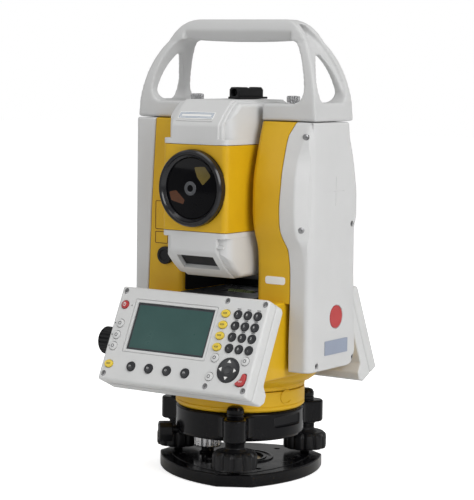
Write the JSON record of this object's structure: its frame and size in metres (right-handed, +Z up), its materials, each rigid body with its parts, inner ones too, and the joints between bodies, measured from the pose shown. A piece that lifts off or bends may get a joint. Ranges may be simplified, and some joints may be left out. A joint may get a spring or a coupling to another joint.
{
  "type": "surveying total station",
  "caption": "Surveying total station on a three-screw tribrach: yellow U-shaped alidade with grey side covers and carrying handle, tilting telescope, keyboards front and rear.",
  "frame": {"origin": "on the vertical axis, at the underside of the tribrach's base plate, in the mouth of the tripod screw socket", "axes": "+Z up along the vertical axis, -Y the way the objective looks, +X towards the side without the battery"},
  "size_m": [0.1765, 0.1802, 0.3365],
  "materials": {
    "yellow_paint": "satin",
    "grey_plastic": "satin",
    "black_enamel": "gloss",
    "black_plastic": "satin",
    "black_rubber": "matte",
    "red_rubber": "satin",
    "steel": "satin",
    "brass": "satin",
    "optical_glass": "polished",
    "display_glass": "gloss",
    "circuit_board": "satin"
  },
  "bodies": {
    "tribrach": {"base_plate": "black_enamel", "tripod_screw_socket": "brass", "tribrach_body": "black_enamel", "lock_spring_barrel": "steel", "circular_vial": "optical_glass", "lower_housing": "yellow_paint", "horizontal_circle": "optical_glass"},
    "foot_screw_front": {"foot_screw_front": "black_plastic"},
    "foot_screw_right": {"foot_screw_right": "black_plastic"},
    "foot_screw_left": {"foot_screw_left": "black_plastic"},
    "lock_ring": {"lock_ring": "steel"},
    "lock_knob": {"lock_knob": "black_plastic"},
    "alidade": {"alidade_frame": "yellow_paint", "vertical_axis_shaft": "steel", "main_board": "circuit_board", "plate_vial": "optical_glass", "tangent_spring_cap": "black_plastic", "right_cover": "grey_plastic", "left_cover": "grey_plastic", "handle": "grey_plastic", "trunnion_bearing_left": "brass", "trunnion_bearing_right": "brass", "front_bezel": "grey_plastic", "front_keypad_mat": "black_rubber", "front_display": "display_glass", "front_keyboard_shell": "grey_plastic", "rear_bezel": "grey_plastic", "rear_keypad_mat": "black_rubber", "rear_display": "display_glass", "rear_keyboard_shell": "grey_plastic"},
    "battery": {"battery_pack": "grey_plastic"},
    "battery_latch": {"battery_latch": "black_plastic"},
    "handle_screw_left": {"handle_screw_left": "steel"},
    "handle_screw_right": {"handle_screw_right": "steel"},
    "horizontal_clamp": {"horizontal_clamp": "black_plastic"},
    "horizontal_tangent": {"horizontal_tangent": "black_plastic"},
    "vertical_clamp": {"vertical_clamp": "black_plastic"},
    "vertical_tangent": {"vertical_tangent": "black_plastic"},
    "telescope": {"telescope_housing": "yellow_paint", "telescope_top_cover": "grey_plastic", "telescope_bottom_cover": "grey_plastic", "objective_barrel": "black_enamel", "objective_lens": "optical_glass", "eyepiece_tube": "black_enamel", "optical_sight": "black_plastic", "trunnion_left": "steel", "trunnion_right": "steel", "vertical_circle": "optical_glass"},
    "focus_ring": {"focus_ring": "black_rubber"},
    "eyepiece_ring": {"eyepiece_ring": "black_rubber"},
    "front_function_key_1": {"front_function_key_1": "black_rubber"},
    "front_function_key_2": {"front_function_key_2": "black_rubber"},
    "front_function_key_3": {"front_function_key_3": "black_rubber"},
    "front_function_key_4": {"front_function_key_4": "black_rubber"},
    "front_power_key": {"front_power_key": "red_rubber"},
    "front_navigation_pad": {"front_navigation_pad": "black_rubber"},
    "front_enter_key": {"front_enter_key": "red_rubber"},
    "rear_power_key": {"rear_power_key": "red_rubber"},
    "rear_navigation_pad": {"rear_navigation_pad": "black_rubber"},
    "rear_enter_key": {"rear_enter_key": "red_rubber"}
  },
  "joints": [
    {"name": "alidade_turn", "type": "hinge", "parent": "tribrach", "child": "alidade", "pos_m": [0, 0, 0], "axis": [0, 0, 1], "continuous": true},
    {"name": "telescope_tilt", "type": "hinge", "parent": "alidade", "child": "telescope", "pos_m": [0, 0, 0.2149], "axis": [1, 0, 0], "continuous": true},
    {"name": "foot_screw_front_turn", "type": "hinge", "parent": "tribrach", "child": "foot_screw_front", "pos_m": [0.02884, -0.048, 0.0177], "axis": [0, 0, 1], "range_deg": [-1100, 1100]},
    {"name": "foot_screw_right_turn", "type": "hinge", "parent": "tribrach", "child": "foot_screw_right", "pos_m": [0.02715, 0.04898, 0.0177], "axis": [0, 0, 1], "range_deg": [-1100, 1100]},
    {"name": "foot_screw_left_turn", "type": "hinge", "parent": "tribrach", "child": "foot_screw_left", "pos_m": [-0.05599, -0.00098, 0.0177], "axis": [0, 0, 1], "range_deg": [-1100, 1100]},
    {"name": "lock_knob_turn", "type": "hinge", "parent": "tribrach", "child": "lock_knob", "pos_m": [-0.04151, -0.03608, 0.031], "axis": [-0.7547, -0.6561, 0], "range_deg": [0, 180]},
    {"name": "lock_ring_turn", "type": "hinge", "parent": "tribrach", "child": "lock_ring", "pos_m": [0, 0, 0.036], "axis": [0, 0, 1], "range_deg": [0, 30]},
    {"name": "horizontal_clamp_turn", "type": "hinge", "parent": "alidade", "child": "horizontal_clamp", "pos_m": [-0.066, -0.04, 0.0935], "axis": [1, 0, 0], "range_deg": [0, 150]},
    {"name": "horizontal_tangent_turn", "type": "hinge", "parent": "alidade", "child": "horizontal_tangent", "pos_m": [-0.085, -0.04, 0.0935], "axis": [1, 0, 0], "range_deg": [-1450, 1450]},
    {"name": "vertical_clamp_turn", "type": "hinge", "parent": "alidade", "child": "vertical_clamp", "pos_m": [-0.048, 0.035, 0.161], "axis": [0, 1, 0], "range_deg": [0, 150]},
    {"name": "vertical_tangent_turn", "type": "hinge", "parent": "alidade", "child": "vertical_tangent", "pos_m": [-0.048, 0.052, 0.161], "axis": [0, 1, 0], "range_deg": [-1450, 1450]},
    {"name": "focus_ring_turn", "type": "hinge", "parent": "telescope", "child": "focus_ring", "pos_m": [0, 0.045, 0.2149], "axis": [0, 1, 0], "range_deg": [-170, 170]},
    {"name": "eyepiece_ring_turn", "type": "hinge", "parent": "telescope", "child": "eyepiece_ring", "pos_m": [0, 0.068, 0.2149], "axis": [0, 1, 0], "range_deg": [-100, 100]},
    {"name": "handle_screw_left_turn", "type": "hinge", "parent": "alidade", "child": "handle_screw_left", "pos_m": [-0.043, 0, 0.2787], "axis": [0, 0, 1], "range_deg": [0, 1100]},
    {"name": "handle_screw_right_turn", "type": "hinge", "parent": "alidade", "child": "handle_screw_right", "pos_m": [0.043, 0, 0.2787], "axis": [0, 0, 1], "range_deg": [0, 1100]},
    {"name": "battery_slide", "type": "slide", "parent": "alidade", "child": "battery", "axis": [-1, 0, 0], "range_m": [0, 0.05]},
    {"name": "battery_latch_slide", "type": "slide", "parent": "alidade", "child": "battery_latch", "axis": [0, 0, 1], "range_m": [0, 0.003], "stiffness_N_per_m": 300},
    {"name": "front_function_key_1_press", "type": "slide", "parent": "alidade", "child": "front_function_key_1", "axis": [0, 0.9063, -0.4226], "range_m": [0, 0.0008], "stiffness_N_per_m": 600},
    {"name": "front_function_key_2_press", "type": "slide", "parent": "alidade", "child": "front_function_key_2", "axis": [0, 0.9063, -0.4226], "range_m": [0, 0.0008], "stiffness_N_per_m": 600},
    {"name": "front_function_key_3_press", "type": "slide", "parent": "alidade", "child": "front_function_key_3", "axis": [0, 0.9063, -0.4226], "range_m": [0, 0.0008], "stiffness_N_per_m": 600},
    {"name": "front_function_key_4_press", "type": "slide", "parent": "alidade", "child": "front_function_key_4", "axis": [0, 0.9063, -0.4226], "range_m": [0, 0.0008], "stiffness_N_per_m": 600},
    {"name": "front_power_key_press", "type": "slide", "parent": "alidade", "child": "front_power_key", "axis": [0, 0.9063, -0.4226], "range_m": [0, 0.0008], "stiffness_N_per_m": 600},
    {"name": "front_navigation_pad_press", "type": "slide", "parent": "alidade", "child": "front_navigation_pad", "axis": [0, 0.9063, -0.4226], "range_m": [0, 0.0008], "stiffness_N_per_m": 600},
    {"name": "front_enter_key_press", "type": "slide", "parent": "alidade", "child": "front_enter_key", "axis": [0, 0.9063, -0.4226], "range_m": [0, 0.0008], "stiffness_N_per_m": 600},
    {"name": "rear_power_key_press", "type": "slide", "parent": "alidade", "child": "rear_power_key", "axis": [0, -0.9063, -0.4226], "range_m": [0, 0.0008], "stiffness_N_per_m": 600},
    {"name": "rear_navigation_pad_press", "type": "slide", "parent": "alidade", "child": "rear_navigation_pad", "axis": [0, -0.9063, -0.4226], "range_m": [0, 0.0008], "stiffness_N_per_m": 600},
    {"name": "rear_enter_key_press", "type": "slide", "parent": "alidade", "child": "rear_enter_key", "axis": [0, -0.9063, -0.4226], "range_m": [0, 0.0008], "stiffness_N_per_m": 600}
  ],
  "couplings": [
    {"joint": "lock_ring_turn", "follows": "lock_knob_turn", "ratio": 0.16667}
  ]
}
